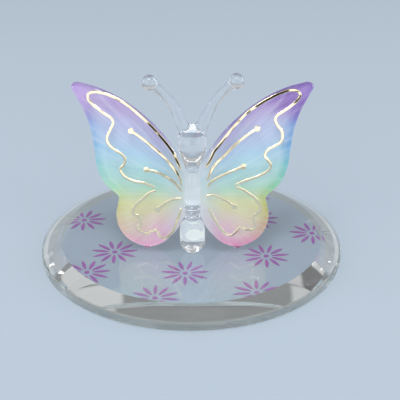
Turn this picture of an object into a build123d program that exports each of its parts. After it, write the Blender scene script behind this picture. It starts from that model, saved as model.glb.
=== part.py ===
from build123d import *

import os
from math import cos, radians, sin

os.makedirs("parts", exist_ok=True)

# Millimetres. The origin is the centre of the underside, +Z is up and the butterfly faces -Y.

# Round bevelled glass base
base_diameter = 100.0
base_glass_thickness = 6.0
bevel_width = 6.5
bevel_drop = 3.0
ground_edge_round = 0.3

# Coated backing, its print and the adhesive ring, in the order they lie under the glass
backing_thickness = 0.5
backing_inset = 1.5
print_thickness = 0.15
adhesive_width = 1.5

# Daisies: places are shares of the base radius, then degrees round it and degrees of turn
petal_count = 11
petal_length = 5.7
petal_width = 1.2
petal_start = 1.9
daisy_eye_diameter = 1.7
daisy_places = (
    (0.80, 159, 0),
    (0.79, 212, 0),
    (0.76, 253, 180),
    (0.78, 302, 180),
    (0.825, 7, 0),
    (0.79, 58, 0),
    (0.79, 108, 180),
    (0.53, 197, 0),
    (0.43, 265, 0),
    (0.535, 337, 0),
    (0.545, 34, 0),
    (0.52, 114, 180),
)

# Stance of the figure: where its axis meets the base, and how far it leans back
figure_shift = 0.4
figure_forward = 12.8
figure_lean = 12.0
seat_gap = 0.15

# Abdomen, a capsule that narrows to the waist
abdomen_diameter = 8.2
abdomen_shoulder = 8.9
abdomen_top = 11.4
abdomen_shoulder_headings = (90, 160)
waist_diameter = 4.4

# Waist, a wrung knot of rings
waist_length = 5.2
waist_ring_count = 3
waist_ring_bulge = 0.45

# Thorax, a slightly swollen rod
thorax_length = 10.1
thorax_diameter = 5.4
thorax_end_diameter = 5.0

# Head, from a narrow neck to a flat top, with a brow that fills the fork of the antennae
head_length = 13.0
head_diameter = 9.5
neck_diameter = 3.8
head_rim_round = 0.35
brow_height = 3.3
brow_base_diameter = 7.6
brow_top_diameter = 2.6
head_side_shares = (
    (0.53, 0.25),
    (0.74, 0.39),
    (0.94, 0.53),
    (1.0, 0.74),
    (0.965, 1.0),
)

# Antennae, drawn rods that bow outwards to a melted ball
antenna_reach = 13.8
antenna_rise = 16.6
antenna_root_depth = 1.2
antenna_root_diameter = 4.2
antenna_tip_diameter = 2.8
antenna_ball_diameter = 5.1
antenna_ball_blend = 0.6
antenna_section_count = 5
antenna_line_shares = (
    (0.165, 0.0),
    (0.225, 0.19),
    (0.325, 0.38),
    (0.455, 0.565),
    (0.63, 0.75),
    (0.82, 0.91),
    (1.0, 1.0),
)

# Wings, pressed glass with melted round edges on a shallow dome
wing_span = 40.5
wing_height = 54.6
wing_thickness = 2.6
wing_edge_round = 1.15
wing_sweep = 10.0
wing_dome_radius = 180.0
wing_dome_rise = 0.5
dome_centre_shares = (0.44, 0.46)
leading_edge_shares = (
    (0.030, 0.520),
    (0.185, 0.678),
    (0.365, 0.812),
    (0.630, 0.940),
    (0.950, 1.000),
)
leading_edge_headings = (46, -2)
tip_radius = 1.7
tip_turn = -118
trailing_edge_shares = (
    (0.876, 0.833),
    (0.812, 0.680),
    (0.787, 0.540),
    (0.720, 0.406),
    (0.612, 0.346),
)
trailing_edge_heading = 216
notch_radius = 1.6
notch_turn = 70
hind_lobe_shares = (
    (0.625, 0.205),
    (0.582, 0.104),
    (0.490, 0.047),
    (0.375, 0.022),
    (0.262, 0.046),
    (0.160, 0.112),
    (0.020, 0.200),
)
hind_lobe_heading = 146

# Gilded strokes on the wing fronts, as shares of the wing's span and height
gilding_width = 0.85
gilding_relief = 0.25
gilding_dot_diameter = 1.9
stroke_shares = {
    "forewing": (
        (0.115, 0.550),
        (0.190, 0.650),
        (0.345, 0.780),
        (0.530, 0.888),
        (0.725, 0.950),
        (0.842, 0.945),
        (0.835, 0.895),
        (0.720, 0.835),
        (0.652, 0.790),
        (0.680, 0.725),
        (0.700, 0.675),
        (0.610, 0.615),
        (0.560, 0.570),
        (0.595, 0.515),
        (0.545, 0.468),
        (0.435, 0.440),
        (0.315, 0.410),
    ),
    "hindwing": (
        (0.315, 0.393),
        (0.440, 0.342),
        (0.512, 0.255),
        (0.470, 0.226),
        (0.460, 0.165),
        (0.450, 0.130),
        (0.372, 0.135),
        (0.300, 0.105),
        (0.240, 0.100),
        (0.170, 0.165),
        (0.105, 0.280),
    ),
    "upper_vein": (
        (0.100, 0.430),
        (0.165, 0.537),
        (0.330, 0.657),
        (0.500, 0.741),
    ),
    "middle_vein": (
        (0.095, 0.390),
        (0.165, 0.444),
        (0.265, 0.492),
        (0.382, 0.516),
    ),
    "lower_vein": (
        (0.105, 0.346),
        (0.190, 0.334),
        (0.250, 0.308),
        (0.303, 0.276),
    ),
}
dotted_strokes = ("upper_vein", "middle_vein", "lower_vein")

# Clear glue under the figure
abdomen_glue_diameter = 4.4
wing_glue_diameter = 3.2
glue_height = 0.9
glue_round = 0.35

# Working values
base_radius = base_diameter / 2
glass_underside = backing_thickness + print_thickness
base_top = glass_underside + base_glass_thickness
backing_radius = base_radius - backing_inset
upright_plane = Plane(
    origin=(figure_shift, -figure_forward, base_top),
    x_dir=Plane.XZ.x_dir,
    z_dir=Plane.XZ.z_dir,
)
figure_plane = upright_plane.rotated((-figure_lean, 0, 0))
wing_plane = upright_plane.rotated((-figure_lean, 0, wing_sweep))
figure_axis = Axis(figure_plane.origin, figure_plane.y_dir)
figure_mirror = Plane.YZ.offset(figure_shift)
waist_top = abdomen_top + waist_length
thorax_top = waist_top + thorax_length
head_top = thorax_top + head_length
dome_front = wing_dome_rise + wing_thickness / 2
dome_centre = wing_plane.from_local_coords(
    (
        wing_span * dome_centre_shares[0],
        wing_height * dome_centre_shares[1],
        dome_front - wing_dome_radius,
    )
)
half_slab = wing_height / 4


def heading(degrees):
    return Vector(cos(radians(degrees)), sin(radians(degrees)))


def on_wing(shares):
    return [(wing_span * across, wing_height * up) for across, up in shares]


# Base glass: the bevel and the ground edge are turned in one profile
with BuildPart() as base_glass:
    with BuildSketch(Plane.XZ):
        with BuildLine():
            Polyline(
                (0, glass_underside),
                (base_radius, glass_underside),
                (base_radius, base_top - bevel_drop),
                (base_radius - bevel_width, base_top),
                (0, base_top),
                close=True,
            )
        make_face()
    revolve(axis=Axis.Z)
    outer_edges = base_glass.edges().filter_by(GeomType.CIRCLE).group_by(SortBy.RADIUS)[-1]
    fillet(outer_edges, radius=ground_edge_round)

# Backing disc
with BuildPart() as base_backing:
    with BuildSketch():
        Circle(backing_radius)
    extrude(amount=backing_thickness)

# Ring of adhesive between backing and glass
with BuildPart() as backing_adhesive:
    with BuildSketch(Plane.XY.offset(backing_thickness)):
        Circle(backing_radius)
        Circle(backing_radius - adhesive_width, mode=Mode.SUBTRACT)
    extrude(amount=print_thickness)

# One daisy: pointed petals round a small eye
petal_end = petal_start + petal_length
petal_middle = petal_start + petal_length / 2
with BuildSketch() as petal:
    with BuildLine():
        ThreePointArc((petal_start, 0), (petal_middle, petal_width / 2), (petal_end, 0))
        ThreePointArc((petal_end, 0), (petal_middle, -petal_width / 2), (petal_start, 0))
    make_face()

with BuildSketch() as daisy:
    Circle(daisy_eye_diameter / 2)
    with PolarLocations(0, petal_count, start_angle=-90):
        add(petal.sketch)

# Print: two rings of daisies
with BuildPart() as daisy_print:
    with BuildSketch(Plane.XY.offset(backing_thickness)):
        for ring_share, around, turn in daisy_places:
            centre = heading(around) * base_radius * ring_share
            with Locations(Location((centre.X, centre.Y), turn)):
                add(daisy.sketch)
        Circle(backing_radius - adhesive_width, mode=Mode.INTERSECT)
    extrude(amount=print_thickness)

# Abdomen: a round end on the base, a straight side and a shoulder up to the waist
abdomen_radius = abdomen_diameter / 2
waist_radius = waist_diameter / 2
abdomen_centre = (abdomen_radius + seat_gap) / cos(radians(figure_lean))
with BuildPart() as abdomen:
    with BuildSketch(figure_plane):
        with BuildLine():
            CenterArc((0, abdomen_centre), abdomen_radius, -90, 90)
            Line((abdomen_radius, abdomen_centre), (abdomen_radius, abdomen_shoulder))
            Spline(
                (abdomen_radius, abdomen_shoulder),
                (waist_radius, abdomen_top),
                tangents=[heading(degrees) for degrees in abdomen_shoulder_headings],
            )
            Polyline(
                (waist_radius, abdomen_top),
                (0, abdomen_top),
                (0, abdomen_centre - abdomen_radius),
            )
        make_face()
    revolve(axis=figure_axis)

# Waist: rings left by the twist of the weld
ring_length = waist_length / waist_ring_count
with BuildPart() as waist:
    with BuildSketch(figure_plane):
        with BuildLine():
            for ring in range(waist_ring_count):
                ring_start = abdomen_top + ring * ring_length
                ThreePointArc(
                    (waist_radius, ring_start),
                    (waist_radius + waist_ring_bulge, ring_start + ring_length / 2),
                    (waist_radius, ring_start + ring_length),
                )
            Polyline(
                (waist_radius, waist_top),
                (0, waist_top),
                (0, abdomen_top),
                (waist_radius, abdomen_top),
            )
        make_face()
    revolve(axis=figure_axis)

# Thorax
with BuildPart() as thorax:
    with BuildSketch(figure_plane):
        with BuildLine():
            ThreePointArc(
                (thorax_end_diameter / 2, waist_top),
                (thorax_diameter / 2, waist_top + thorax_length / 2),
                (thorax_end_diameter / 2, thorax_top),
            )
            Polyline(
                (thorax_end_diameter / 2, thorax_top),
                (0, thorax_top),
                (0, waist_top),
                (thorax_end_diameter / 2, waist_top),
            )
        make_face()
    revolve(axis=figure_axis)

# Head: the side swells from the neck, and the brow is a short cone on the flat top
head_side = [
    (head_diameter / 2 * out, thorax_top + head_length * up) for out, up in head_side_shares
]
with BuildPart() as head:
    with BuildSketch(figure_plane):
        with BuildLine():
            Spline((neck_diameter / 2, thorax_top), *head_side)
            Polyline(
                head_side[-1],
                (brow_base_diameter / 2, head_top),
                (brow_top_diameter / 2, head_top + brow_height),
                (0, head_top + brow_height),
                (0, thorax_top),
                (neck_diameter / 2, thorax_top),
            )
        make_face()
    revolve(axis=figure_axis)
    rim = head.edges().filter_by(GeomType.CIRCLE).sort_by(SortBy.RADIUS)[-1]
    fillet(rim, radius=head_rim_round)

# Antennae: round sections drawn along the bowed line, thinner towards the ball
antenna_points = [
    (antenna_reach * out, head_top + antenna_rise * up) for out, up in antenna_line_shares
]
with BuildPart() as right_antenna:
    with BuildLine(figure_plane) as antenna_line:
        Spline(
            (antenna_points[0][0], head_top - antenna_root_depth),
            *antenna_points,
        )
    for section in range(antenna_section_count):
        along = section / (antenna_section_count - 1)
        taper = (antenna_root_diameter - antenna_tip_diameter) * along
        with BuildSketch(
            Plane(
                origin=antenna_line.line @ along,
                x_dir=figure_plane.z_dir,
                z_dir=antenna_line.line % along,
            )
        ):
            Circle((antenna_root_diameter - taper) / 2)
    loft()
    with Locations(antenna_line.line @ 1):
        Sphere(antenna_ball_diameter / 2)
    add(head.part, mode=Mode.SUBTRACT)

with BuildPart() as left_antenna:
    mirror(right_antenna.part, about=figure_mirror)

# Wings: one outline cut through a shallow dome of even thickness, with melted edges
with BuildPart() as right_wing:
    with BuildSketch(wing_plane):
        with BuildLine():
            leading_edge = Spline(
                *on_wing(leading_edge_shares),
                tangents=[heading(degrees) for degrees in leading_edge_headings],
            )
            tip = JernArc(leading_edge @ 1, leading_edge % 1, tip_radius, tip_turn)
            trailing_edge = Spline(
                tip @ 1,
                *on_wing(trailing_edge_shares),
                tangents=(tip % 1, heading(trailing_edge_heading)),
            )
            notch = JernArc(trailing_edge @ 1, trailing_edge % 1, notch_radius, notch_turn)
            hind_lobe = Spline(
                notch @ 1,
                *on_wing(hind_lobe_shares),
                tangents=(notch % 1, heading(hind_lobe_heading)),
            )
            Line(hind_lobe @ 1, leading_edge @ 0)
        make_face()
    extrude(amount=half_slab, both=True)
    with Locations(dome_centre):
        Sphere(wing_dome_radius, mode=Mode.INTERSECT)
        Sphere(wing_dome_radius - wing_thickness, mode=Mode.SUBTRACT)
    domed_faces = right_wing.faces().filter_by(GeomType.SPHERE)
    free_edges = domed_faces.edges().filter_by(GeomType.BSPLINE)
    fillet(free_edges, radius=wing_edge_round)
    for piece in (abdomen, waist, thorax, head):
        add(piece.part, mode=Mode.SUBTRACT)

with BuildPart() as left_wing:
    mirror(right_wing.part, about=figure_mirror)

# Gilding: strokes of even width, raised on the dome
with BuildPart() as right_wing_gilding:
    with BuildSketch(wing_plane):
        for stroke, shares in stroke_shares.items():
            with BuildLine() as stroke_line:
                Spline(*on_wing(shares))
            trace(line_width=gilding_width)
            if stroke in dotted_strokes:
                with Locations(stroke_line.line @ 1):
                    Circle(gilding_dot_diameter / 2)
    extrude(amount=half_slab, both=True)
    with Locations(dome_centre):
        Sphere(wing_dome_radius + gilding_relief, mode=Mode.INTERSECT)
        Sphere(wing_dome_radius, mode=Mode.SUBTRACT)

with BuildPart() as left_wing_gilding:
    mirror(right_wing_gilding.part, about=figure_mirror)

# Glue: a flat bead under the abdomen and one under each hind lobe
abdomen_foot = figure_plane.from_local_coords((0, abdomen_centre, 0))
with BuildPart() as abdomen_glue:
    with Locations((abdomen_foot.X, abdomen_foot.Y, base_top)):
        Cylinder(
            abdomen_glue_diameter / 2,
            glue_height,
            align=(Align.CENTER, Align.CENTER, Align.MIN),
        )
    fillet(abdomen_glue.edges().sort_by(Axis.Z)[-1], radius=glue_round)
    add(abdomen.part, mode=Mode.SUBTRACT)

across, up = min(hind_lobe_shares, key=lambda place: place[1])
lobe_foot = wing_plane.from_local_coords(
    (wing_span * across, wing_height * up, -wing_thickness / 2)
)
with BuildPart() as right_wing_glue:
    with Locations((lobe_foot.X, lobe_foot.Y, base_top)):
        Cylinder(
            wing_glue_diameter / 2,
            glue_height,
            align=(Align.CENTER, Align.CENTER, Align.MIN),
        )
    fillet(right_wing_glue.edges().sort_by(Axis.Z)[-1], radius=glue_round)
    add(right_wing.part, mode=Mode.SUBTRACT)

with BuildPart() as left_wing_glue:
    mirror(right_wing_glue.part, about=figure_mirror)

pieces = {
    "base_glass": base_glass,
    "base_backing": base_backing,
    "backing_adhesive": backing_adhesive,
    "daisy_print": daisy_print,
    "abdomen": abdomen,
    "waist": waist,
    "thorax": thorax,
    "head": head,
    "left_antenna": left_antenna,
    "right_antenna": right_antenna,
    "left_wing": left_wing,
    "right_wing": right_wing,
    "left_wing_gilding": left_wing_gilding,
    "right_wing_gilding": right_wing_gilding,
    "abdomen_glue": abdomen_glue,
    "left_wing_glue": left_wing_glue,
    "right_wing_glue": right_wing_glue,
}
for name, piece in pieces.items():
    piece.part.label = name
    export_step(piece.part, f"parts/{name}.step")
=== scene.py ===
from math import cos, pi, radians, sin

import bpy
from mathutils import Matrix, Vector, bvhtree, kdtree


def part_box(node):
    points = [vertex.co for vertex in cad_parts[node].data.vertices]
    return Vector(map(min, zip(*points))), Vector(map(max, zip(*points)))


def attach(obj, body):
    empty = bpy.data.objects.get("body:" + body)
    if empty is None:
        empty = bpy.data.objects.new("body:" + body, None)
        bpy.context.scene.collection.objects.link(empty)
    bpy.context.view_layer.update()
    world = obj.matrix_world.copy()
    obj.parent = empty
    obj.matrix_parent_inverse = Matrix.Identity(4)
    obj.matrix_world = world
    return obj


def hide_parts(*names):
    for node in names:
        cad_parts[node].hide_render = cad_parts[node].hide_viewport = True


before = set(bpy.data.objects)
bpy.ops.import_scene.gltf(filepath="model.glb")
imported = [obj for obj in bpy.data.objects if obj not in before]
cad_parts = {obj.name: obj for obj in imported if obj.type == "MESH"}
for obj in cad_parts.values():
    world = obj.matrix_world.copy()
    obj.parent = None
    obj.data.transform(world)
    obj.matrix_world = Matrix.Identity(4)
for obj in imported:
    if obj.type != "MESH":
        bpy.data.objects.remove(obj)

print("Frame loaded")
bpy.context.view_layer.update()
mm = 0.001

# Where the base and the figure stand, read from the frame
baseLow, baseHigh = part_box("base_glass")
baseTop = baseHigh.z
baseRadius = (baseHigh.x - baseLow.x) / 2

figure = {
    "shift": 0.4,        # the foot of the figure's axis, in mm
    "forward": 12.8,
    "leanDegrees": 12,   # the whole figure leans back
    "sweepDegrees": 10,  # and each wing is swept back from it
}
figureSeat = (
    Matrix.Translation((figure["shift"] * mm, -figure["forward"] * mm, baseTop))
    @ Matrix.Rotation(-radians(figure["leanDegrees"]), 4, "X")
)


# Small helpers for working as by hand
cutting = {
    "threshold": 0.0001,   # mm within which a cut meets a vertex
    "offPlane": 0.001,     # mm off the plane at which a face still belongs to the cut
    "facing": 0.99,
    "sunkReach": 2.0,      # how far from the shell, in mm, a sunk face may lie
}


def deselectAll():
    if bpy.context.mode != "OBJECT":
        bpy.ops.object.mode_set(mode="OBJECT")
    bpy.ops.object.select_all(action="DESELECT")


def pickOnly(piece):
    deselectAll()
    piece.select_set(True)
    bpy.context.view_layer.objects.active = piece


def applyModifier(piece, kind, **values):
    pickOnly(piece)
    modifier = piece.modifiers.new(kind.title(), kind)
    for name, value in values.items():
        setattr(modifier, name, value)
    bpy.ops.object.modifier_apply(modifier=modifier.name)


def seatPiece(piece, seat):
    pickOnly(piece)
    piece.matrix_world = seat @ piece.matrix_world
    bpy.ops.object.transform_apply(location=True, rotation=True, scale=True)


def finishPiece(piece, name, material, replacedNodes):
    piece.name = name
    piece.data.name = name
    if material:
        piece.data.materials.clear()
        piece.data.materials.append(material)
    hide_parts(*replacedNodes)
    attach(piece, "root")


def copyPiece(piece):
    pickOnly(piece)
    bpy.ops.object.duplicate()
    return bpy.context.object


def cutAway(piece, place, direction, side=0):
    # removes what lies beyond the plane and closes the cut with a weld face
    pickOnly(piece)
    for vertex in piece.data.vertices:
        vertex.select = vertex.co.x * side >= 0
    for edge in piece.data.edges:
        edge.select = all(piece.data.vertices[v].select for v in edge.vertices)
    for face in piece.data.polygons:
        face.select = all(piece.data.vertices[v].select for v in face.vertices)
    bpy.ops.object.mode_set(mode="EDIT")
    bpy.ops.mesh.bisect(
        plane_co=place, plane_no=direction, use_fill=True, clear_outer=True,
        threshold=cutting["threshold"] * mm,
    )
    bpy.ops.object.mode_set(mode="OBJECT")
    for face in piece.data.polygons:
        onPlane = abs((face.center - place).dot(direction)) < cutting["offPlane"] * mm
        if onPlane and face.normal.dot(direction) > cutting["facing"]:
            face.material_index = weldSlot


def facesInside(piece, other):
    # which faces of a piece are sunk in another closed piece
    shell = bvhtree.BVHTree.FromPolygons(
        [v.co for v in other.data.vertices], [f.vertices for f in other.data.polygons]
    )
    sunk = []
    for face in piece.data.polygons:
        place, normal = shell.find_nearest(face.center, cutting["sunkReach"] * mm)[:2]
        if place and (face.center - place).dot(normal) < 0:
            sunk.append(face.index)
    return sunk


def joinPieces(pieces):
    deselectAll()
    for piece in pieces:
        piece.select_set(True)
    bpy.context.view_layer.objects.active = pieces[0]
    bpy.ops.object.join()
    return bpy.context.object


def turnedPiece(rings, segments=64):
    # rings are (radius, height) in mm from the bottom up
    deselectAll()
    bpy.ops.mesh.primitive_circle_add(vertices=segments, radius=rings[0][0] * mm, fill_type="TRIFAN")
    piece = bpy.context.object
    bpy.ops.object.mode_set(mode="EDIT")
    bpy.ops.mesh.select_all(action="SELECT")
    bpy.ops.transform.translate(value=(0, 0, rings[0][1] * mm))
    bpy.ops.mesh.select_all(action="DESELECT")
    bpy.ops.mesh.select_non_manifold()
    for (radius, height), (nextRadius, nextHeight) in zip(rings, rings[1:]):
        bpy.ops.mesh.extrude_edges_move(
            TRANSFORM_OT_translate={"value": (0, 0, (nextHeight - height) * mm)}
        )
        share = nextRadius / radius
        bpy.ops.transform.resize(value=(share, share, 1), center_override=(0, 0, nextHeight * mm))
    bpy.ops.mesh.extrude_edges_move()
    bpy.ops.mesh.merge(type="CENTER")
    bpy.ops.mesh.select_all(action="SELECT")
    bpy.ops.mesh.normals_make_consistent(inside=False)
    bpy.ops.object.mode_set(mode="OBJECT")
    bpy.ops.object.shade_smooth()
    return piece


# Materials
def newMaterial(name):
    material = bpy.data.materials.new(name)
    material.use_nodes = True
    tree = material.node_tree
    tree.nodes.clear()
    tree.nodes.new("ShaderNodeOutputMaterial").name = "Output"
    return material, tree.nodes, tree.links


def setInputs(node, **values):
    for name, value in values.items():
        node.inputs[name].default_value = value


def feedSocket(tree, socket, value):
    if isinstance(value, bpy.types.NodeSocket):
        tree.links.new(value, socket)
    elif value is not None:
        socket.default_value = value


def mathNode(tree, operation, first, second=None):
    node = tree.nodes.new("ShaderNodeMath")
    node.operation = operation
    feedSocket(tree, node.inputs[0], first)
    feedSocket(tree, node.inputs[1], second)
    return node.outputs[0]


def rangeNode(tree, value, low, high, newLow=0.0, newHigh=1.0, smooth=False):
    node = tree.nodes.new("ShaderNodeMapRange")
    if smooth:
        node.interpolation_type = "SMOOTHSTEP"
    for index, number in enumerate((value, low, high, newLow, newHigh)):
        feedSocket(tree, node.inputs[index], number)
    return node.outputs[0]


def mixColours(tree, share, first, second):
    node = tree.nodes.new("ShaderNodeMix")
    node.data_type = "RGBA"
    feedSocket(tree, node.inputs["Factor"], share)
    feedSocket(tree, node.inputs["A"], first)
    feedSocket(tree, node.inputs["B"], second)
    return node.outputs["Result"]


def noiseNode(tree, place, scale, detail=2.0, roughness=0.5):
    node = tree.nodes.new("ShaderNodeTexNoise")
    setInputs(node, Scale=scale, Detail=detail, Roughness=roughness)
    tree.links.new(place, node.inputs["Vector"])
    return node.outputs["Fac"]


def displayToLinear(colour):
    return [c / 12.92 if c <= 0.04045 else ((c + 0.055) / 1.055) ** 2.4 for c in colour] + [1]


def clearGlass(name, colour, ior, roughness=0.0):
    # shadow and diffuse rays pass straight through, so the lamps light what stands behind
    material, nodes, links = newMaterial(name)
    glass = nodes.new("ShaderNodeBsdfGlass")
    setInputs(glass, Color=colour, IOR=ior, Roughness=roughness)
    clear = nodes.new("ShaderNodeBsdfTransparent")
    setInputs(clear, Color=colour)
    lightPath = nodes.new("ShaderNodeLightPath")
    either = nodes.new("ShaderNodeMath")
    either.operation = "MAXIMUM"
    mixer = nodes.new("ShaderNodeMixShader")
    links.new(lightPath.outputs["Is Shadow Ray"], either.inputs[0])
    links.new(lightPath.outputs["Is Diffuse Ray"], either.inputs[1])
    links.new(either.outputs[0], mixer.inputs["Fac"])
    links.new(glass.outputs[0], mixer.inputs[1])
    links.new(clear.outputs[0], mixer.inputs[2])
    links.new(mixer.outputs[0], nodes["Output"].inputs["Surface"])
    return material


def weldMaterial():
    # glass runs on through a weld, so nothing of it shows
    material, nodes, links = newMaterial("weldInside")
    clear = nodes.new("ShaderNodeBsdfTransparent")
    links.new(clear.outputs[0], nodes["Output"].inputs["Surface"])
    return material


glassColours = {
    "figure": (0.99, 0.995, 1.0, 1),
    "base": (0.996, 0.998, 0.998, 1),
    "groundEdge": (0.76, 0.78, 0.77, 1),
    "groundEdgeRoughness": 0.22,
    "glue": (0.98, 0.985, 0.98, 1),
    "figureIor": 1.5,
    "baseIor": 1.52,
    "glueIor": 1.45,
}
weldInside = weldMaterial()
glassSlot, weldSlot, paintSlot = 0, 1, 2
figureGlass = clearGlass("figureGlass", glassColours["figure"], glassColours["figureIor"])
baseGlass = clearGlass("baseGlass", glassColours["base"], glassColours["baseIor"])
edgeGlass = clearGlass(
    "groundEdgeGlass", glassColours["groundEdge"], glassColours["baseIor"],
    glassColours["groundEdgeRoughness"],
)
clearGlue = clearGlass("clearGlue", glassColours["glue"], glassColours["glueIor"])


# Bevelled base
base = {
    "bevelWidth": 6.5,
    "bevelDrop": 3.0,
    "groundEdge": 0.3,
    "groundShare": 0.3,  # how far the middle of the ground arris is cut back
    "bevelLip": 0.4,     # narrow lip between the edge and the bevel
    "lipIn": 0.3,
    "lipDown": 0.25,
    "lipUp": 0.48,
    "smoothDegrees": 8,  # low, so that the lip doesn't bend the light on the bevel
    "airGap": 0.04,      # the film only lies against the glass
    "edgeNormal": 0.8,   # faces that stand steeper than this belong to the ground edge
    "segments": 256,
}


def makeBase():
    radius = baseRadius / mm
    low = baseLow.z / mm + base["airGap"]
    high = baseHigh.z / mm
    edge, lip = base["groundEdge"], base["bevelLip"]
    bevelStart = high - base["bevelDrop"]
    rings = [
        (radius - edge, low),
        (radius - edge * base["groundShare"], low + edge * base["groundShare"]),
        (radius, low + edge),
        (radius, bevelStart - lip),
        (radius - lip * base["lipIn"], bevelStart - lip * base["lipDown"]),
        (radius - lip, bevelStart + lip * base["lipUp"]),
        (radius - base["bevelWidth"], high),
    ]
    piece = turnedPiece(rings, base["segments"])
    pickOnly(piece)
    bpy.ops.object.shade_smooth_by_angle(angle=radians(base["smoothDegrees"]))
    finishPiece(piece, "bevelledBase", baseGlass, ["base_glass"])
    piece.data.materials.append(edgeGlass)
    for face in piece.data.polygons:
        if abs(face.normal.z) < base["edgeNormal"]:
            face.material_index = 1


# Backing film, print and adhesive keep their CAD shapes
backing = {
    "filmColour": (0.33, 0.41, 0.505, 1),
    "filmShades": (0.95, 1.05),
    "filmGrain": 900.0,
    "filmRoughness": 0.45,
    "grainDetail": 4.0,
    "marginStart": 43.3,   # the coat and the print stop here, in mm from the middle
    "marginBlur": 0.2,
    "marginColour": (0.36, 0.41, 0.43, 1),
    "printColour": (0.25, 0.085, 0.36, 1),
    "printStreak": (0.36, 0.09, 0.39, 1),
    "printGrain": 420.0,
    "printRoughness": 0.4,
    "adhesiveColour": (0.60, 0.64, 0.67, 1),
    "adhesiveRoughness": 0.5,
}


def coatedMaterial(name, dark, light, grain, roughness):
    # a grained coat inside, and the bare pale margin round it
    material, nodes, links = newMaterial(name)
    tree = material.node_tree
    shader = nodes.new("ShaderNodeBsdfPrincipled")
    shader.inputs["Roughness"].default_value = roughness
    place = nodes.new("ShaderNodeTexCoord").outputs["Object"]
    coat = mixColours(tree, noiseNode(tree, place, grain, backing["grainDetail"]), dark, light)
    flat = nodes.new("ShaderNodeVectorMath")
    flat.operation = "MULTIPLY"
    flat.inputs[1].default_value = (1, 1, 0)
    distance = nodes.new("ShaderNodeVectorMath")
    distance.operation = "LENGTH"
    links.new(place, flat.inputs[0])
    links.new(flat.outputs["Vector"], distance.inputs[0])
    start = backing["marginStart"] * mm
    end = start + backing["marginBlur"] * mm
    margin = rangeNode(tree, distance.outputs["Value"], start, end)
    links.new(mixColours(tree, margin, coat, backing["marginColour"]), shader.inputs["Base Color"])
    links.new(shader.outputs[0], nodes["Output"].inputs["Surface"])
    return material


def filmMaterial():
    film = backing["filmColour"]
    darker, lighter = ([c * share for c in film[:3]] + [1] for share in backing["filmShades"])
    return coatedMaterial("backingFilm", darker, lighter, backing["filmGrain"], backing["filmRoughness"])


def printMaterial():
    return coatedMaterial(
        "daisyInk", backing["printColour"], backing["printStreak"], backing["printGrain"],
        backing["printRoughness"],
    )


def plainMaterial(name, colour, roughness):
    material, nodes, links = newMaterial(name)
    shader = nodes.new("ShaderNodeBsdfPrincipled")
    shader.inputs["Base Color"].default_value = colour
    shader.inputs["Roughness"].default_value = roughness
    links.new(shader.outputs[0], nodes["Output"].inputs["Surface"])
    return material


def dressBacking():
    finishes = {
        "base_backing": filmMaterial(),
        "daisy_print": printMaterial(),
        "backing_adhesive": plainMaterial(
            "adhesiveRing", backing["adhesiveColour"], backing["adhesiveRoughness"]
        ),
    }
    for node, material in finishes.items():
        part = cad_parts[node]
        for slot in part.material_slots:
            slot.material = material


makeBase()
dressBacking()
print("Base made")

# Wings
wings = {
    "thickness": 2.6,
    "edgeRound": 1.15,
    "domeRadius": 180.0,
    "domeRise": 0.5,
    "domeCentre": (17.8, 25.1),
    "pillowWidth": 3.2,
    "pillowDepth": 0.28,
    "bead": (2.0, 1.3, 0.10),     # place from the rim, half width and height of the soft raised margin
    "furrow": (4.0, 1.6, 0.08),   # and of the shallow furrow inside it
    "curveSteps": 16,
    "edgeSteps": 5,
    "mergeDistance": 0.005,
    "meltSize": 0.3,
    "meltFactor": 0.5,
    "meltSteps": 8,
    "rimShadeSpread": 1.3,             # how much further in than the pillow the painted shade of the rim reaches
    "paintedNormal": 0.05,        # faces that look back more than this carry the paint
    # (out, up) in mm from the foot of the figure's axis: leading edge, tip, trailing edge, notch, lobe
    "outline": [
        (3.4, 31.5), (7.6, 37.0), (10.7, 40.6), (15.0, 44.5), (21.9, 49.3), (29.6, 52.8), (36.0, 54.4),
        (39.4, 54.5), (40.3, 53.2), (39.3, 51.3), (35.9, 45.9), (33.5, 39.8), (32.3, 33.5), (31.2, 27.0),
        (28.8, 22.3), (25.9, 19.6), (24.3, 18.0), (24.6, 15.9), (25.3, 11.2), (23.6, 5.8), (19.9, 2.5),
        (15.2, 1.2), (10.6, 2.4), (6.6, 5.9), (4.35, 8.9), (3.4, 10.9), (2.3, 12.8),
    ],
    # where the wing meets the body
    "inner": [(1.5, 14.8), (1.4, 20.0), (1.4, 26.0), (1.8, 29.6)],
}
sides = {"left": -1, "right": 1}


def wingSweep(side):
    return Matrix.Rotation(sides[side] * radians(figure["sweepDegrees"]), 4, "Z")


def wingSeat(side):
    return figureSeat @ wingSweep(side)


def drawOutline():
    deselectAll()
    bpy.ops.curve.primitive_bezier_circle_add()
    outline = bpy.context.object
    spline = outline.data.splines[0]
    points = wings["outline"] + wings["inner"]
    spline.bezier_points.add(len(points) - len(spline.bezier_points))
    for point, (out, up) in zip(spline.bezier_points, points):
        point.co = (out * mm, up * mm, 0)
        point.handle_left_type = "AUTO"
        point.handle_right_type = "AUTO"
    spline.use_cyclic_u = True
    outline.data.dimensions = "2D"
    outline.data.resolution_u = wings["curveSteps"]
    return outline


def rimTree():
    outline = drawOutline()
    pickOnly(outline)
    outline.data.fill_mode = "NONE"
    bpy.ops.object.convert(target="MESH")
    rim = bpy.context.object
    free = len(rim.data.vertices) * (len(wings["outline"]) - 1) // (
        len(wings["outline"]) + len(wings["inner"])
    )
    tree = kdtree.KDTree(free)
    for index in range(free):
        tree.insert(rim.data.vertices[index].co / mm, index)
    tree.balance()
    bpy.data.objects.remove(rim)
    return tree


wingRim = rimTree()


def rimDistance(out, up):
    return wingRim.find(Vector((out, up, 0)))[2]


def easeIn(value):
    value = min(max(value, 0.0), 1.0)
    return value * value * (3 - 2 * value)


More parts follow.
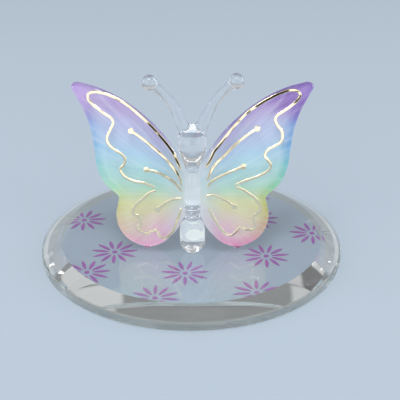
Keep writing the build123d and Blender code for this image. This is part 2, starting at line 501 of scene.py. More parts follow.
def domeHeight(out, up):
    centreOut, centreUp = wings["domeCentre"]
    spread = (out - centreOut) ** 2 + (up - centreUp) ** 2
    return wings["domeRise"] - spread / (2 * wings["domeRadius"])


def swell(distance, place, halfWidth, height):
    share = (distance - place) / halfWidth
    return height * max(0.0, 1 - share * share) ** 2


def pillowDrop(out, up):
    near = rimDistance(out, up)
    drop = wings["pillowDepth"] * (1 - easeIn(near / wings["pillowWidth"]))
    return drop - swell(near, *wings["bead"]) + swell(near, *wings["furrow"])


def makeWing(side):
    sign = sides[side]
    wing = drawOutline()
    wing.data.fill_mode = "BOTH"
    wing.data.offset = -wings["edgeRound"] * mm
    wing.data.extrude = (wings["thickness"] / 2 - wings["edgeRound"]) * mm
    wing.data.bevel_depth = wings["edgeRound"] * mm
    wing.data.bevel_resolution = wings["edgeSteps"]
    pickOnly(wing)
    bpy.ops.object.convert(target="MESH")
    bpy.ops.object.mode_set(mode="EDIT")
    bpy.ops.mesh.select_all(action="SELECT")
    bpy.ops.mesh.remove_doubles(threshold=wings["mergeDistance"] * mm)
    bpy.ops.mesh.normals_make_consistent(inside=False)
    bpy.ops.object.mode_set(mode="OBJECT")
    applyModifier(wing, "REMESH", mode="VOXEL", voxel_size=wings["meltSize"] * mm)
    applyModifier(wing, "SMOOTH", factor=wings["meltFactor"], iterations=wings["meltSteps"])
    # bend the flat wing onto its dome and let its front sink towards the rim
    # how near each point lies to the rim, for the painted shade there
    rimShadeShare = wing.data.attributes.new("rimShadeShare", "FLOAT", "POINT")
    for vertex, rim in zip(wing.data.vertices, rimShadeShare.data):
        out, up, depth = vertex.co / mm
        near = rimDistance(out, up)
        rim.value = 1 - easeIn(near / (wings["pillowWidth"] * wings["rimShadeSpread"]))
        if depth > 0:
            depth -= pillowDrop(out, up) * depth / (wings["thickness"] / 2)
        vertex.co = Vector((sign * out, -depth - domeHeight(out, up), up)) * mm
    bpy.ops.object.mode_set(mode="EDIT")
    bpy.ops.mesh.select_all(action="SELECT")
    bpy.ops.mesh.normals_make_consistent(inside=False)
    bpy.ops.object.mode_set(mode="OBJECT")
    bpy.ops.object.shade_smooth()
    wing.data.materials.clear()
    for material in (figureGlass, weldInside, wingPaint(side)):
        wing.data.materials.append(material)
    for face in wing.data.polygons:
        face.material_index = paintSlot if face.normal.y > wings["paintedNormal"] else glassSlot
    seatPiece(wing, wingSweep(side))
    return wing


# Paint sprayed on the backs of the wings, as display colours, by the angle of a fan from the root
paint = {
    "fanRoot": 20.0,              # height of the root along the body, in mm
    "fanSpread": (24.0, 10.0),    # the fan's reach flattens out towards the tips
    "fanDegrees": (-80.0, 70.0),
    # one airbrush colour after another round the fan, the same on both wings
    "spray": [
        (-80, (0.95, 0.80, 0.88)), (-48, (0.95, 0.80, 0.88)),   # pink
        (-27, (0.92, 0.90, 0.74)), (-15, (0.92, 0.92, 0.72)),   # lemon
        (3, (0.78, 0.92, 0.83)),                                # mint
        (22, (0.75, 0.90, 0.90)),                               # aqua
        (38, (0.72, 0.86, 0.95)),                               # sky blue
        (60, (0.80, 0.73, 0.90)), (70, (0.80, 0.73, 0.90)),     # lilac
    ],
    "tipPaint": (0.80, 0.70, 0.90),
    # how many coats lie over each other: each one deepens the colour again
    "coats": {"left": 1.05, "right": 1.0},
    # the rim's deeper coats are painted shade of the rounded glass edge
    "rimShadeCoats": {"left": 1.5, "right": 2.2},
    # the tip's lilac is paint; the right tip's extra coats are painted shade
    "tipCoatsAndShade": {"left": 1.0, "right": 2.4},
    "rimShadeReach": (6.0, 14.0, 0.2, 1.0),   # out from the body: from, to, and the share of the painted rim shade at each
    "tipPlace": {"left": (39.0, 51.5), "right": (32.0, 49.5)},
    "tipReach": (1.5, 9.0),
    "tipShare": 0.75,
    "nearBody": (0.85, 0.90, 0.91),
    "nearBodyReach": (2.0, 12.0),
    "nearBodyShare": 0.85,
    "cloudScale": 0.11,
    "cloudBand": (0.3, 0.7),
    "cloudWander": 0.06,
    "glow": 0.12,                        # how much light comes through the paint
}
streak = {
    "around": 26.0,
    "along": 0.04,
    "detail": 3.0,
    "roughness": 0.55,
    "paleColour": (0.94, 0.96, 0.98),
    "paleBand": (0.45, 0.75),
    "paleShare": 0.3,
    "darkBand": (0.5, 0.25),
    "darkShare": 0.5,
    "darkSaturation": 1.25,
    "darkValue": 0.95,
}


def coated(tint, coats):
    return displayToLinear(tuple(channel ** coats for channel in tint))


def fanRamp(tree, fan, coats):
    ramp = tree.nodes.new("ShaderNodeValToRGB")
    tree.links.new(fan, ramp.inputs["Fac"])
    stops = ramp.color_ramp.elements
    lowDegrees, highDegrees = paint["fanDegrees"]
    for index, (degrees, tint) in enumerate(paint["spray"]):
        position = (degrees - lowDegrees) / (highDegrees - lowDegrees)
        stop = stops[index] if index < 2 else stops.new(position)
        stop.position = position
        stop.color = coated(tint, coats)
    return ramp.outputs["Color"]


def wingPaint(side):
    material, nodes, links = newMaterial(side + "WingPaint")
    tree = material.node_tree
    # wing coordinates in mm: out from the axis and up along it
    place = nodes.new("ShaderNodeTexCoord")
    mapping = nodes.new("ShaderNodeMapping")
    mapping.vector_type = "TEXTURE"
    seat = wingSeat(side)
    mapping.inputs["Location"].default_value = seat.to_translation()
    mapping.inputs["Rotation"].default_value = seat.to_euler("XYZ")
    mapping.inputs["Scale"].default_value = (sides[side] * mm, mm, mm)
    links.new(place.outputs["Object"], mapping.inputs["Vector"])
    split = nodes.new("ShaderNodeSeparateXYZ")
    links.new(mapping.outputs[0], split.inputs[0])
    out, up = split.outputs["X"], split.outputs["Z"]

    # colour by the angle of the fan, a little clouded
    rise = mathNode(tree, "SUBTRACT", up, paint["fanRoot"])
    reach, easing = paint["fanSpread"]
    stretched = mathNode(tree, "MULTIPLY", out, reach)
    flatOut = mathNode(tree, "DIVIDE", stretched, mathNode(tree, "ADD", out, easing))
    angle = mathNode(tree, "ARCTAN2", rise, flatOut)
    clouds = noiseNode(tree, mapping.outputs[0], paint["cloudScale"])
    wander = rangeNode(tree, clouds, *paint["cloudBand"], -paint["cloudWander"], paint["cloudWander"])
    lowAngle, highAngle = (radians(d) for d in paint["fanDegrees"])
    fan = rangeNode(tree, mathNode(tree, "ADD", angle, wander), lowAngle, highAngle)
    colour = fanRamp(tree, fan, paint["coats"][side])
    rimShadeColour = fanRamp(tree, fan, paint["rimShadeCoats"][side])

    # painted shade: the colour deepens towards the rim
    rim = nodes.new("ShaderNodeAttribute")
    rim.attribute_name = "rimShadeShare"
    rimShadePart = mathNode(tree, "MULTIPLY", rim.outputs["Fac"], rangeNode(tree, out, *paint["rimShadeReach"]))
    colour = mixColours(tree, rimShadePart, colour, rimShadeColour)

    # deeper spray at the tip, with painted shade making the right tip darker still, and hardly any near the
    # body
    tipOut, tipUp = paint["tipPlace"][side]
    spread = mathNode(
        tree, "ADD",
        mathNode(tree, "POWER", mathNode(tree, "SUBTRACT", out, tipOut), 2),
        mathNode(tree, "POWER", mathNode(tree, "SUBTRACT", up, tipUp), 2),
    )
    spread = mathNode(tree, "SQRT", spread)
    tipShare = rangeNode(tree, spread, *paint["tipReach"], paint["tipShare"], 0.0, smooth=True)
    colour = mixColours(tree, tipShare, colour, coated(paint["tipPaint"], paint["tipCoatsAndShade"][side]))
    nearShare = rangeNode(tree, out, *paint["nearBodyReach"], paint["nearBodyShare"], 0.0, smooth=True)
    colour = mixColours(tree, nearShare, colour, displayToLinear(paint["nearBody"]))

    # fine streaks that run out from the root
    trueAngle = mathNode(tree, "ARCTAN2", rise, out)
    streakPlace = nodes.new("ShaderNodeCombineXYZ")
    links.new(mathNode(tree, "MULTIPLY", trueAngle, streak["around"]), streakPlace.inputs["X"])
    links.new(mathNode(tree, "MULTIPLY", out, streak["along"]), streakPlace.inputs["Y"])
    streaks = noiseNode(tree, streakPlace.outputs[0], 1.0, streak["detail"], streak["roughness"])
    paleShare = rangeNode(tree, streaks, *streak["paleBand"], 0.0, streak["paleShare"], smooth=True)
    colour = mixColours(tree, paleShare, colour, displayToLinear(streak["paleColour"]))
    deeper = nodes.new("ShaderNodeHueSaturation")
    setInputs(deeper, Saturation=streak["darkSaturation"], Value=streak["darkValue"])
    links.new(colour, deeper.inputs["Color"])
    darkShare = rangeNode(tree, streaks, *streak["darkBand"], 0.0, streak["darkShare"], smooth=True)
    colour = mixColours(tree, darkShare, colour, deeper.outputs["Color"])

    connectPaint(material, colour)
    return material


# Clear body: (radius, height) in mm along the figure's axis, from the tail to the brow
body = [
    (0.5, 0.22), (1.6, 0.55), (2.9, 1.35), (3.75, 2.6), (4.1, 4.3), (4.1, 6.6), (4.05, 8.4),
    (3.85, 9.8), (3.3, 10.8), (2.4, 11.25), (2.0, 11.6), (2.8, 12.4), (2.05, 13.2), (2.85, 14.0),
    (2.05, 14.8), (2.8, 15.6), (2.1, 16.4), (2.6, 17.3), (2.7, 19.5), (2.72, 21.7), (2.66, 24.0),
    (2.4, 25.7), (2.15, 26.9), (2.15, 28.0), (2.45, 29.4), (3.05, 31.0), (3.75, 32.6), (4.3, 34.2),
    (4.62, 35.8), (4.74, 37.4), (4.64, 38.8), (4.3, 39.6), (3.3, 40.15), (1.6, 40.5), (0.6, 40.55),
]
bodySegments = 48

# flat-fronted brow between the antennae: height of its foot and top, half width and half depth of each
brow = {
    "foot": (39.6, 3.3, 3.0),
    "top": (43.2, 1.25, 0.35),
}

antennae = {
    "lines": {
        # centre line (out, up) in mm, then the rod's radius
        "left": [
            (1.9, 38.6, 2.0), (2.9, 42.2, 2.05), (4.4, 45.9, 1.85), (6.2, 49.2, 1.7),
            (8.6, 52.2, 1.55), (11.0, 54.6, 1.45), (13.3, 56.1, 1.45),
        ],
        "right": [
            (1.9, 38.6, 2.0), (3.0, 42.2, 2.05), (4.6, 45.9, 1.85), (6.4, 49.2, 1.7),
            (8.8, 52.3, 1.55), (11.4, 54.9, 1.45), (13.9, 56.6, 1.45),
        ],
    },
    "balls": {"left": (13.5, 56.1), "right": (14.0, 56.6)},
    "ballRadius": 2.55,
    "ballSteps": 5,
    "curveOrder": 4,
    "curveSteps": 12,
    "roundSteps": 8,
    "meltSize": 0.22,
    "meltFactor": 0.5,
    "meltSteps": 7,
}


def makeAntenna(side):
    sign = sides[side]
    points = antennae["lines"][side]
    deselectAll()
    bpy.ops.curve.primitive_nurbs_path_add(enter_editmode=False)
    rod = bpy.context.object
    rod.data.splines.clear()
    spline = rod.data.splines.new("NURBS")
    spline.points.add(len(points) - 1)
    for point, (out, up, radius) in zip(spline.points, points):
        point.co = (sign * out * mm, 0, up * mm, 1)
        point.radius = radius
    spline.order_u = antennae["curveOrder"]
    spline.use_endpoint_u = True
    rod.data.bevel_depth = mm
    rod.data.bevel_resolution = antennae["roundSteps"]
    rod.data.resolution_u = antennae["curveSteps"]
    rod.data.use_fill_caps = True
    pickOnly(rod)
    bpy.ops.object.convert(target="MESH")
    out, up = antennae["balls"][side]
    deselectAll()
    bpy.ops.mesh.primitive_ico_sphere_add(
        subdivisions=antennae["ballSteps"], radius=antennae["ballRadius"] * mm,
        location=(sign * out * mm, 0, up * mm),
    )
    return [rod, bpy.context.object]


def makeBrow():
    footHeight, footWidth, footDepth = brow["foot"]
    topHeight, topWidth, topDepth = brow["top"]
    deselectAll()
    bpy.ops.mesh.primitive_cube_add(size=2 * mm, location=(0, 0, (footHeight + 1) * mm))
    wedge = bpy.context.object
    bpy.ops.object.transform_apply(location=True, rotation=True, scale=True)
    bpy.ops.object.mode_set(mode="EDIT")
    bpy.ops.mesh.select_all(action="SELECT")
    centre = (0, 0, footHeight * mm)
    bpy.ops.transform.resize(
        value=(footWidth, footDepth, (topHeight - footHeight) / 2), center_override=centre
    )
    bpy.ops.mesh.select_all(action="DESELECT")
    bpy.ops.object.mode_set(mode="OBJECT")
    for vertex in wedge.data.vertices:
        vertex.select = vertex.co.z > (footHeight + topHeight) / 2 * mm
    bpy.ops.object.mode_set(mode="EDIT")
    bpy.ops.transform.resize(
        value=(topWidth / footWidth, topDepth / footDepth, 1), center_override=(0, 0, topHeight * mm)
    )
    bpy.ops.object.mode_set(mode="OBJECT")
    return wedge


def meltBody():
    trunk = turnedPiece(body, bodySegments)
    melted = joinPieces([trunk, makeBrow()] + makeAntenna("left") + makeAntenna("right"))
    applyModifier(melted, "REMESH", mode="VOXEL", voxel_size=antennae["meltSize"] * mm)
    applyModifier(melted, "SMOOTH", factor=antennae["meltFactor"], iterations=antennae["meltSteps"])
    melted.data.materials.clear()
    for material in (figureGlass, weldInside, oversprayAndHighlight()):
        melted.data.materials.append(material)
    low, high = bodyCuts["waistTop"] * mm, bodyCuts["thoraxTop"] * mm
    # faces that look back get the thorax's mist, and behind the abdomen a pale painted highlight
    halfWidth, height, halfHeight = bodyCuts["tailHighlightPatch"]
    for face in melted.data.polygons:
        face.material_index = glassSlot
        across = face.center.x / mm / halfWidth
        along = (face.center.z / mm - height) / halfHeight
        mistOrHighlight = low < face.center.z < high or across ** 2 + along ** 2 < 1
        if mistOrHighlight and face.normal.y > bodyCuts["sprayedNormal"]:
            face.material_index = paintSlot
    return melted


# heights in mm where one blob of the body is welded to the next, and the antennae's weld planes
bodyCuts = {
    "abdomenTop": 11.4,
    "waistTop": 16.6,
    "thoraxTop": 26.7,
    "antennaPlace": (4.4, 45.7),
    "antennaDirection": (0.48, 0.88),
    "smoothDegrees": 50,
    "sprayedNormal": 0.1,
    "sprayColour": (0.90, 0.935, 0.95),
    "sprayShade": 0.86,
    "sprayGrain": 260.0,
    "sprayDetail": 3.0,
    "sprayBand": (0.3, 0.7),
    "tailHighlightPatch": (3.1, 6.5, 3.1),   # half width, height and half height of the pale patch behind the abdomen, a painted highlight
    "brightestHighlight": (0.8, 4.6, 1.7),      # the same of the brightest part of that painted highlight
    "brightestHighlightAside": 0.1,
    "brightestHighlightEdge": (0.8, 1.1),
    "brightestHighlightColour": (0.97, 1.0, 0.98),
}


def oversprayAndHighlight():
    # the wing paint also settles as a pale mist on the back of the thorax; the same pale paint behind the
    # abdomen is a painted highlight
    material, nodes, links = newMaterial("thoraxMistAndTailHighlight")
    tree = material.node_tree
    place = nodes.new("ShaderNodeTexCoord")
    mist = noiseNode(tree, place.outputs["Object"], bodyCuts["sprayGrain"], bodyCuts["sprayDetail"])
    share = rangeNode(tree, mist, *bodyCuts["sprayBand"])
    pale = displayToLinear(bodyCuts["sprayColour"])
    shaded = [c * bodyCuts["sprayShade"] for c in pale[:3]] + [1]
    colour = mixColours(tree, share, shaded, pale)

    # and a brighter painted highlight in an ellipse behind the abdomen
    split = nodes.new("ShaderNodeSeparateXYZ")
    links.new(place.outputs["Object"], split.inputs[0])
    halfWidth, height, halfHeight = bodyCuts["brightestHighlight"]
    middle = (figure["shift"] + bodyCuts["brightestHighlightAside"]) * mm
    reach = mathNode(
        tree, "ADD",
        ellipsePart(tree, split.outputs["X"], middle, halfWidth * mm),
        ellipsePart(tree, split.outputs["Z"], baseTop + height * mm, halfHeight * mm),
    )
    inside = rangeNode(tree, reach, *bodyCuts["brightestHighlightEdge"], 1.0, 0.0)
    colour = mixColours(tree, inside, colour, displayToLinear(bodyCuts["brightestHighlightColour"]))
    connectPaint(material, colour)
    return material


def ellipsePart(tree, value, centre, half):
    away = mathNode(tree, "DIVIDE", mathNode(tree, "SUBTRACT", value, centre), half)
    return mathNode(tree, "POWER", mathNode(tree, "ABSOLUTE", away), 2)


def connectPaint(material, colour):
    nodes, links = material.node_tree.nodes, material.node_tree.links
    diffuse = nodes.new("ShaderNodeBsdfDiffuse")
    glow = nodes.new("ShaderNodeBsdfTranslucent")
    mixer = nodes.new("ShaderNodeMixShader")
    mixer.inputs["Fac"].default_value = paint["glow"]
    links.new(colour, diffuse.inputs["Color"])
    links.new(colour, glow.inputs["Color"])
    links.new(diffuse.outputs[0], mixer.inputs[1])
    links.new(glow.outputs[0], mixer.inputs[2])
    links.new(mixer.outputs[0], nodes["Output"].inputs["Surface"])


def cutBody(melted):
    upright = Vector((0, 0, 1))
    names = ("abdomenTop", "waistTop", "thoraxTop")
    heights = {name: Vector((0, 0, bodyCuts[name] * mm)) for name in names}
    alongX, alongZ = bodyCuts["antennaDirection"]
    placeX, placeZ = bodyCuts["antennaPlace"]
    planes = {
        side: (Vector((sign * placeX, 0, placeZ)) * mm, Vector((sign * alongX, 0, alongZ)).normalized())
        for side, sign in sides.items()
    }
    pieces = {}
    for node, low, high in (
        ("abdomen", None, "abdomenTop"),
        ("waist", "abdomenTop", "waistTop"),
        ("thorax", "waistTop", "thoraxTop"),
        ("head", "thoraxTop", None),
    ):
        piece = copyPiece(melted)
        if high:
            cutAway(piece, heights[high], upright)
        if low:
            cutAway(piece, heights[low], -upright)
        if node == "head":
            for side, (place, direction) in planes.items():
                cutAway(piece, place, direction, sides[side])
        pieces[node] = piece
    for side, (place, direction) in planes.items():
        piece = copyPiece(melted)
        cutAway(piece, Vector((0, 0, 0)), Vector((-sides[side], 0, 0)))
        cutAway(piece, place, -direction)
        pieces[side + "_antenna"] = piece
    for node, piece in pieces.items():
        pickOnly(piece)
        bpy.ops.object.shade_smooth_by_angle(angle=radians(bodyCuts["smoothDegrees"]))
        seatPiece(piece, figureSeat)
        name = node.split("_")[0] + ("Antenna" if "_" in node else "Glass")
        finishPiece(piece, name, None, [node])
    bpy.data.objects.remove(melted)


def weldTogether(melted, wing):
    inBody = facesInside(wing, melted)
    inWing = facesInside(melted, wing)
    for index in inBody:
        wing.data.polygons[index].material_index = weldSlot
    for index in inWing:
        melted.data.polygons[index].material_index = weldSlot


def makeFigure():
    wingPieces = {side: makeWing(side) for side in sides}
    melted = meltBody()
    for side, wing in wingPieces.items():
        weldTogether(melted, wing)
        seatPiece(wing, figureSeat)
        finishPiece(wing, side + "PaintedWing", None, [side + "_wing"])
    cutBody(melted)


makeFigure()
print("Figure made")

# Gilded lines on the fronts, drawn on each wing: (out, up) in mm
gilding = {
    "width": 0.9,
    "height": 0.12,
    "flatness": 0.22,
    "sunkShare": 0.4,     # how deep the underside goes, as a share of the height
    "endShare": 0.6,      # the radius in which a stroke runs out
    "curveSteps": 8,
    "roundSteps": 6,
    "dotRadius": 0.98,
    "dotSegments": 32,
    "dotRings": 16,
    "colour": (1.0, 0.88, 0.62, 1),
    "roughness": 0.08,
    "waveScale": 160.0,
    "waveDetail": 1.0,
    "waveStrength": 0.35,
    "waveDepth": 0.001,
    "left": {
        "forewing": [
            (3.6, 28.1), (5.2, 32.0), (7.0, 34.9), (10.0, 38.5), (13.8, 42.5), (17.5, 45.6), (21.3, 48.4),
            (25.1, 50.4), (29.0, 51.7), (32.1, 52.0), (33.8, 51.4), (34.2, 50.2), (32.8, 48.3),
            (30.5, 46.6), (28.1, 45.0), (26.2, 43.9), (25.6, 42.4), (26.2, 40.9), (27.3, 38.6),
            (27.7, 37.1), (27.0, 35.5), (25.1, 33.9), (22.8, 32.5), (21.7, 31.1), (22.0, 29.2),
            (23.2, 27.6), (22.6, 26.1), (21.0, 24.7), (18.7, 23.8), (15.3, 23.2), (11.9, 22.0),
        ],
        "hindwing": [
            (11.7, 21.0), (13.8, 20.0), (16.1, 17.9), (18.5, 15.5), (19.3, 13.9), (19.0, 12.5),
            (17.4, 12.0), (16.9, 10.8), (17.1, 9.0), (17.9, 7.9), (16.8, 6.8), (15.0, 6.1), (13.4, 7.0),
            (11.9, 7.3), (10.8, 5.5), (9.7, 4.7), (7.7, 5.6), (6.2, 7.7), (5.0, 10.5), (3.9, 13.7),
            (3.5, 15.3),
        ],
        "veins": [
            [(19.7, 40.1), (16.7, 38.3), (13.0, 35.5), (9.2, 32.3), (6.3, 29.0), (4.0, 25.6), (3.3, 22.6)],
            [(14.6, 27.7), (11.5, 27.1), (8.1, 25.5), (5.2, 23.3), (3.2, 20.8)],
            [(11.1, 14.6), (9.4, 16.3), (7.1, 17.7), (5.6, 18.3), (3.4, 18.5)],
        ],
    },
    "right": {
        "forewing": [
            (4.3, 28.9), (5.5, 30.9), (6.6, 33.4), (8.6, 36.0), (14.1, 42.5), (17.8, 46.0), (21.6, 48.4),
            (25.5, 50.4), (29.3, 51.9), (32.4, 52.5), (34.5, 52.1), (35.3, 51.1), (34.3, 49.3),
            (32.3, 47.6), (29.2, 45.7), (27.3, 44.5), (26.9, 43.4), (27.6, 41.6), (29.0, 39.7),
            (29.3, 38.2), (28.8, 36.3), (26.5, 34.9), (24.2, 33.6), (23.4, 32.1), (24.2, 30.6),
            (25.4, 29.0), (25.0, 27.5), (23.1, 26.1), (20.1, 24.9), (16.7, 23.9), (13.8, 22.8),
        ],
        "hindwing": [
            (14.0, 21.9), (16.0, 21.2), (18.6, 19.4), (20.6, 17.7), (21.8, 15.7), (22.2, 13.7),
            (21.1, 12.8), (19.9, 11.8), (20.2, 9.9), (20.7, 8.2), (19.7, 7.3), (17.4, 7.4), (15.5, 8.1),
            (14.3, 6.9), (13.3, 5.8), (11.7, 5.8), (9.8, 7.3), (7.9, 10.0), (6.3, 12.8), (5.3, 15.2),
        ],
        "veins": [
            [(20.9, 40.8), (17.8, 39.0), (14.0, 36.2), (10.3, 32.6), (7.3, 29.7), (5.8, 27.5), (4.7, 24.5)],
            [(16.3, 28.7), (13.3, 27.6), (9.9, 26.2), (7.7, 25.2), (5.8, 23.9), (4.7, 22.2)],
            [(13.5, 15.5), (11.1, 17.4), (8.5, 18.8), (6.6, 19.5), (4.3, 19.4)],
        ],
    },
}


def giltMaterial():
    material, nodes, links = newMaterial("firedGilt")
    shader = nodes.new("ShaderNodeBsdfPrincipled")
    shader.inputs["Base Color"].default_value = gilding["colour"]
    shader.inputs["Metallic"].default_value = 1.0
    shader.inputs["Roughness"].default_value = gilding["roughness"]
    place = nodes.new("ShaderNodeTexCoord")
    waves = nodes.new("ShaderNodeTexNoise")
    setInputs(waves, Scale=gilding["waveScale"], Detail=gilding["waveDetail"])
    bump = nodes.new("ShaderNodeBump")
    setInputs(bump, Strength=gilding["waveStrength"], Distance=gilding["waveDepth"])
    links.new(place.outputs["Object"], waves.inputs["Vector"])
    links.new(waves.outputs["Fac"], bump.inputs["Height"])
    links.new(bump.outputs["Normal"], shader.inputs["Normal"])
    links.new(shader.outputs[0], nodes["Output"].inputs["Surface"])
    return material


firedGilt = giltMaterial()


def makeGilding(side):
    sign = sides[side]
    lines = gilding[side]
    deselectAll()
    bpy.ops.curve.primitive_bezier_curve_add()
    strokes = bpy.context.object
    strokes.data.splines.clear()
    for points in [lines["forewing"], lines["hindwing"]] + lines["veins"]:
        spline = strokes.data.splines.new("BEZIER")
        spline.bezier_points.add(len(points) - 1)
        for point, (out, up) in zip(spline.bezier_points, points):
            point.co = (out * mm, up * mm, 0)
            point.handle_left_type = "AUTO"
            point.handle_right_type = "AUTO"
        spline.bezier_points[-1].radius = gilding["endShare"]
        spline.resolution_u = gilding["curveSteps"]
    strokes.data.dimensions = "3D"
    strokes.data.twist_mode = "Z_UP"
    strokes.data.bevel_depth = gilding["width"] / 2 * mm
    strokes.data.bevel_resolution = gilding["roundSteps"]
    strokes.data.use_fill_caps = True
    pickOnly(strokes)
    bpy.ops.object.convert(target="MESH")
    dots = []
    for vein in lines["veins"]:
        deselectAll()
        out, up = vein[0]
        bpy.ops.mesh.primitive_uv_sphere_add(
            segments=gilding["dotSegments"], ring_count=gilding["dotRings"],
            radius=gilding["dotRadius"] * mm, location=(out * mm, up * mm, 0),
        )
        dot = bpy.context.object
        dot.scale.z = gilding["width"] / 2 / gilding["dotRadius"]
        dots.append(dot)
    strokes = joinPieces([strokes] + dots)
    bpy.ops.object.transform_apply(location=True, rotation=True, scale=True)
    # flatten the round lines and lay them on the front of the wing
    half = gilding["width"] / 2
    for vertex in strokes.data.vertices:
        out, up, depth = vertex.co / mm
        part = 1 if depth > 0 else -gilding["sunkShare"]
        flat = (abs(depth) / half) ** gilding["flatness"] * gilding["height"] * part
        front = wings["thickness"] / 2 + domeHeight(out, up) - pillowDrop(out, up)
        vertex.co = Vector((sign * out, -front - flat, up)) * mm
    bpy.ops.object.mode_set(mode="EDIT")
    bpy.ops.mesh.select_all(action="SELECT")
    bpy.ops.mesh.normals_make_consistent(inside=False)
    bpy.ops.object.mode_set(mode="OBJECT")
    bpy.ops.object.shade_smooth()
    seatPiece(strokes, wingSeat(side))
    finishPiece(strokes, side + "GiltLines", firedGilt, [side + "_wing_gilding"])


for side in sides:
    makeGilding(side)
print("Gilding made")

# Glue blobs
glue = {
    "abdomen_glue": "abdomenGlueBlob",
    "left_wing_glue": "leftGlueBlob",
    "right_wing_glue": "rightGlueBlob",
}
glueShape = {
    "width": 0.75,          # share of the CAD blob's radius
    "foot": (0.97, 0.02),   # share of that radius, height in mm
    "rings": [(1.0, 0.12), (0.86, 0.45), (0.55, 0.7), (0.2, 0.78)],   # shares of radius and height
    "segments": 24,
    "smoothLevels": 2,
}


def makeGlue():
    for node, name in glue.items():
        low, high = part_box(node)
        radius = (high.x - low.x) / 2 / mm * glueShape["width"]
        height = (high.z - low.z) / mm
        footShare, footHeight = glueShape["foot"]
        rings = [(radius * footShare, footHeight)]
        rings += [(radius * across, height * up) for across, up in glueShape["rings"]]
        piece = turnedPiece(rings, glueShape["segments"])
        levels = glueShape["smoothLevels"]
        applyModifier(piece, "SUBSURF", levels=levels, render_levels=levels)
        bpy.ops.object.shade_smooth()
        centre = ((low.x + high.x) / 2, (low.y + high.y) / 2, baseTop)
        seatPiece(piece, Matrix.Translation(centre))
        finishPiece(piece, name, clearGlue, [node])


makeGlue()
print("Glue made")

# Stage, camera and light
stage = {
    "floorColour": (0.50, 0.58, 0.67, 1),
    "floorSize": 6.0,
    "worldStops": [(0.0, 0.14), (0.25, 0.20), (0.50, 0.28), (0.72, 0.46), (1.0, 0.62)],
    "worldTint": (0.97, 1.0, 1.03),
    "panelBlur": (0.4, 1.0),   # degrees, sideways and upwards
    "lightBounces": 40,        # light is turned back many times inside the thick base
}
# White panels and black flags of the studio, drawn in the world; later ones stand before earlier
# ones. Seen from the front or the back: azimuths (+ to the right), elevations, in degrees, and level
softBoxes = {
    "leftPanel": ("front", (-70, -12), (-4, 46), 1.40),
    "rightPanel": ("front", (8, 70), (-4, 46), 1.40),
    "topPanel": ("front", (-12, 8), (26, 46), 1.40),
    "frontFlag": ("front", (-12, 8), (-4, 26), 0.02),
    "leftFlag": ("front", (-30, -26), (16, 25), 0.02),
    "rightUpperFlag": ("front", (20, 36), (18, 35), 0.02),
    "rightLowerFlag": ("front", (12, 18), (4, 12), 0.02),
    "backGlow": ("back", (-50, 50), (-3, 20), 0.50),
    "backShade": ("back", (-55, 55), (22, 48), 0.25),
    "backRightPanel": ("back", (10, 46), (22, 46), 0.60),
    "backRightFlag": ("back", (23, 28), (22, 46), 0.25),
    "backLeftPanel": ("back", (-46, -16), (22, 46), 0.55),
    "backLeftFlag": ("back", (-25, -20), (22, 46), 0.15),
}
camera = {
    "aim": (2.87, 0.0, 19.5),
    "distance": 400.0,
    "elevationDegrees": 27.2,
    "lens": 108.8,
    "sensor": 36,
    "clipStart": 0.01,
}
lamps = {
    # name: (place in mm, aim in mm, size in mm, power in watts)
    "overheadKey": ((-50, -210, 700), (0, 0, 30), (260, 200), 1.65),
    "leftStripNear": ((-680, -60, 260), (0, 0, 25), (16, 420), 0.28),
    "leftStripMiddle": ((-670, 60, 260), (0, 0, 25), (18, 420), 0.32),
    "leftStripFar": ((-640, 190, 260), (0, 0, 25), (16, 420), 0.28),
    "rightStripNear": ((680, -40, 260), (0, 0, 25), (16, 420), 0.28),
    "rightStripMiddle": ((660, 90, 260), (0, 0, 25), (24, 420), 0.40),
    "rightStripFar": ((600, 260, 260), (0, 0, 25), (14, 420), 0.26),
}


def windowMask(tree, value, low, high, blur):
    # 1 between low and high, with soft edges
    away = mathNode(tree, "ABSOLUTE", mathNode(tree, "SUBTRACT", value, (low + high) / 2))
    half = (high - low) / 2
    return rangeNode(tree, away, half - blur, half + blur, 1.0, 0.0)


def azimuthFrom(tree, split, frontOrBack):
    ahead = split.outputs["Y"]
    if frontOrBack == "front":
        ahead = mathNode(tree, "MULTIPLY", ahead, -1)
    return mathNode(tree, "DEGREES", mathNode(tree, "ARCTAN2", split.outputs["X"], ahead))


def floorPaper():
    material, nodes, links = newMaterial("floorPaper")
    shader = nodes.new("ShaderNodeBsdfDiffuse")
    shader.inputs["Color"].default_value = stage["floorColour"]
    links.new(shader.outputs[0], nodes["Output"].inputs["Surface"])
    return material


def makeFloor():
    deselectAll()
    bpy.ops.mesh.primitive_plane_add(size=stage["floorSize"], location=(0, 0, 0))
    floor = bpy.context.object
    floor.name = "floor"
    floor.data.materials.append(floorPaper())


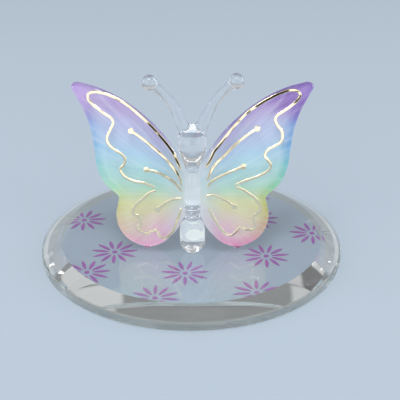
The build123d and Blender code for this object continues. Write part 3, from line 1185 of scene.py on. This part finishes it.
def makeWorld():
    world = bpy.data.worlds.new("studio")
    bpy.context.scene.world = world
    world.use_nodes = True
    tree = world.node_tree
    nodes, links = tree.nodes, tree.links
    nodes.clear()
    output = nodes.new("ShaderNodeOutputWorld")
    light = nodes.new("ShaderNodeBackground")
    place = nodes.new("ShaderNodeTexCoord")
    split = nodes.new("ShaderNodeSeparateXYZ")
    ramp = nodes.new("ShaderNodeValToRGB")
    stops = ramp.color_ramp.elements
    for index, (position, level) in enumerate(stage["worldStops"]):
        stop = stops[index] if index < 2 else stops.new(position)
        stop.position = position
        stop.color = [level * part for part in stage["worldTint"]] + [1]
    links.new(place.outputs["Generated"], split.inputs[0])
    links.new(split.outputs["Z"], ramp.inputs["Fac"])
    azimuths = {side: azimuthFrom(tree, split, side) for side in ("front", "back")}
    elevation = mathNode(tree, "DEGREES", mathNode(tree, "ARCSINE", split.outputs["Z"]))
    colour = ramp.outputs["Color"]
    sideBlur, upBlur = stage["panelBlur"]
    for side, (left, right), (bottom, top), level in softBoxes.values():
        across = windowMask(tree, azimuths[side], left, right, sideBlur)
        upright = windowMask(tree, elevation, bottom, top, upBlur)
        panel = mathNode(tree, "MULTIPLY", across, upright)
        colour = mixColours(tree, panel, colour, [level] * 3 + [1])
    links.new(colour, light.inputs["Color"])
    links.new(light.outputs[0], output.inputs["Surface"])


def makeLamps():
    for name, (place, aim, size, power) in lamps.items():
        data = bpy.data.lights.new(name, "AREA")
        data.shape = "RECTANGLE"
        data.size, data.size_y = size[0] * mm, size[1] * mm
        data.energy = power
        lamp = bpy.data.objects.new(name, data)
        bpy.context.scene.collection.objects.link(lamp)
        lamp.location = Vector(place) * mm
        towards = Vector(aim) - Vector(place)
        lamp.rotation_euler = towards.to_track_quat("-Z", "Y").to_euler()


def makeCamera():
    data = bpy.data.cameras.new("photoCamera")
    data.lens = camera["lens"]
    data.sensor_width = camera["sensor"]
    data.clip_start = camera["clipStart"]
    eye = bpy.data.objects.new("photoCamera", data)
    bpy.context.scene.collection.objects.link(eye)
    tilt = radians(camera["elevationDegrees"])
    away = Vector((0, -cos(tilt), sin(tilt))) * camera["distance"]
    eye.location = (Vector(camera["aim"]) + away) * mm
    eye.rotation_euler = (pi / 2 - tilt, 0, 0)
    bpy.context.scene.camera = eye
    bpy.context.scene.view_settings.view_transform = "Standard"


def followLightThroughGlass():
    cycles = bpy.context.scene.cycles
    cycles.max_bounces = stage["lightBounces"]
    cycles.glossy_bounces = stage["lightBounces"]
    cycles.transmission_bounces = stage["lightBounces"]
    cycles.transparent_max_bounces = stage["lightBounces"]


makeFloor()
makeWorld()
makeLamps()
makeCamera()
followLightThroughGlass()
print("Stage set")
